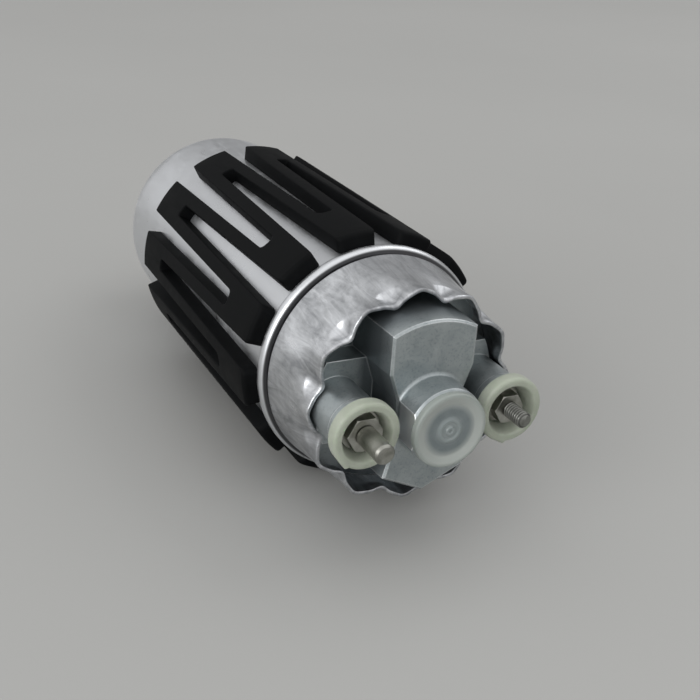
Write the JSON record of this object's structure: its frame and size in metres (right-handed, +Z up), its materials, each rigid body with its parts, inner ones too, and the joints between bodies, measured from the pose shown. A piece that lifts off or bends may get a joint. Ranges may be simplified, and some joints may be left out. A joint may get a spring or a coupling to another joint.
{
  "type": "inline electric fuel pump",
  "caption": "Inline electric roller-cell fuel pump: crimped aluminium can in a slotted rubber sleeve, with terminal studs and a plugged outlet in the end cap and a threaded inlet.",
  "frame": {"origin": "under the middle of the pump, on the surface that its rubber sleeve lies on", "axes": "+Y along the pump's axis towards the inlet, +Z up through the outlet bridge's upper edge, +X towards the small terminal; the pump's axis is 33.5 mm above the origin"},
  "size_m": [0.068, 0.1956, 0.0675],
  "materials": {
    "can_aluminium": "drawn aluminium, satin, with handling marks and a brighter crimped edge",
    "sleeve_rubber": "moulded black rubber, satin",
    "cap_casting": "grey pressure die casting, matte, with bright worn edges",
    "seal_rubber": "black fuel-proof rubber",
    "plug_plastic": "milky translucent soft plastic",
    "valve_brass": "turned brass",
    "spring_steel": "hard-drawn spring wire and strip",
    "terminal_steel": "nickel-plated steel, slightly tarnished",
    "insulator_plastic": "pale green-ivory plastic, satin",
    "holder_plastic": "dark glass-filled plastic",
    "ferrite": "dark sintered ferrite",
    "copper": "bare and lacquered copper",
    "carbon": "pressed carbon",
    "shaft_steel": "ground steel",
    "lamination_steel": "stacked electrical sheet",
    "enamelled_copper": "enamelled copper wire",
    "washer_plastic": "low-friction plastic",
    "sintered_bronze": "oil-soaked sintered bronze",
    "ring_steel": "zinc-plated steel tube",
    "pump_plate": "hard-anodised aluminium",
    "pump_steel": "hardened and lapped steel",
    "screw_steel": "blackened steel",
    "union_aluminium": "turned aluminium",
    "strainer_plastic": "fine plastic mesh on a moulded rim"
  },
  "bodies": {
    "pump": {"base_plate": "pump_plate", "brush_holder": "holder_plastic", "brush_spring_left": "spring_steel", "brush_spring_right": "spring_steel", "check_valve_retainer": "valve_brass", "check_valve_spring": "spring_steel", "choke_coils": "copper", "choke_cores": "ferrite", "damping_sleeve": "sleeve_rubber", "end_cap": "cap_casting", "end_cap_o_ring": "seal_rubber", "field_magnets": "ferrite", "flux_ring": "ring_steel", "front_bush": "sintered_bronze", "housing_can": "can_aluminium", "inlet_o_ring": "seal_rubber", "inlet_plate": "pump_plate", "inlet_strainer": "strainer_plastic", "inlet_union": "union_aluminium", "large_inner_insulator": "insulator_plastic", "large_terminal_insulator": "insulator_plastic", "large_terminal_nut": "terminal_steel", "large_terminal_stud": "terminal_steel", "large_terminal_washer": "terminal_steel", "magnet_clips": "spring_steel", "pump_ring": "pump_steel", "pump_screws": "screw_steel", "rear_bush": "sintered_bronze", "relief_plug": "valve_brass", "relief_spring": "spring_steel", "small_inner_insulator": "insulator_plastic", "small_terminal_insulator": "insulator_plastic", "small_terminal_nut": "terminal_steel", "small_terminal_stud": "terminal_steel", "small_terminal_washer": "terminal_steel"},
    "outlet_plug": {"outlet_plug": "plug_plastic"},
    "check_valve": {"check_valve_poppet": "valve_brass", "check_valve_seal": "seal_rubber"},
    "rotor": {"armature_shaft": "shaft_steel", "lamination_stack": "lamination_steel", "armature_winding": "enamelled_copper", "commutator": "copper", "thrust_washers": "washer_plastic", "rotor_disc": "pump_steel", "rollers": "pump_steel"},
    "brush_left": {"carbon_brush_left": "carbon"},
    "brush_right": {"carbon_brush_right": "carbon"},
    "relief_ball": {"relief_ball": "shaft_steel"}
  },
  "joints": [
    {"name": "rotor_spin", "type": "hinge", "parent": "pump", "child": "rotor", "pos_m": [0, 0, 0.0335], "axis": [0, 1, 0], "continuous": true},
    {"name": "outlet_plug_pull", "type": "slide", "parent": "pump", "child": "outlet_plug", "axis": [0, -1, 0], "range_m": [0, 0.03]},
    {"name": "check_valve_lift", "type": "slide", "parent": "pump", "child": "check_valve", "axis": [0, -1, 0], "range_m": [0, 0.0016], "stiffness_N_per_m": 300, "springref_m": -0.003, "deforming": ["check_valve_spring"]},
    {"name": "brush_left_slide", "type": "slide", "parent": "pump", "child": "brush_left", "axis": [-1, 0, 0], "range_m": [0, 0.0015], "stiffness_N_per_m": 300, "springref_m": -0.003, "deforming": ["brush_spring_left"]},
    {"name": "brush_right_slide", "type": "slide", "parent": "pump", "child": "brush_right", "axis": [1, 0, 0], "range_m": [0, 0.0015], "stiffness_N_per_m": 300, "springref_m": -0.003, "deforming": ["brush_spring_right"]},
    {"name": "relief_valve_lift", "type": "slide", "parent": "pump", "child": "relief_ball", "axis": [0, 1, 0], "range_m": [0, 0.0012], "stiffness_N_per_m": 1000, "springref_m": -0.005, "deforming": ["relief_spring"]}
  ]
}
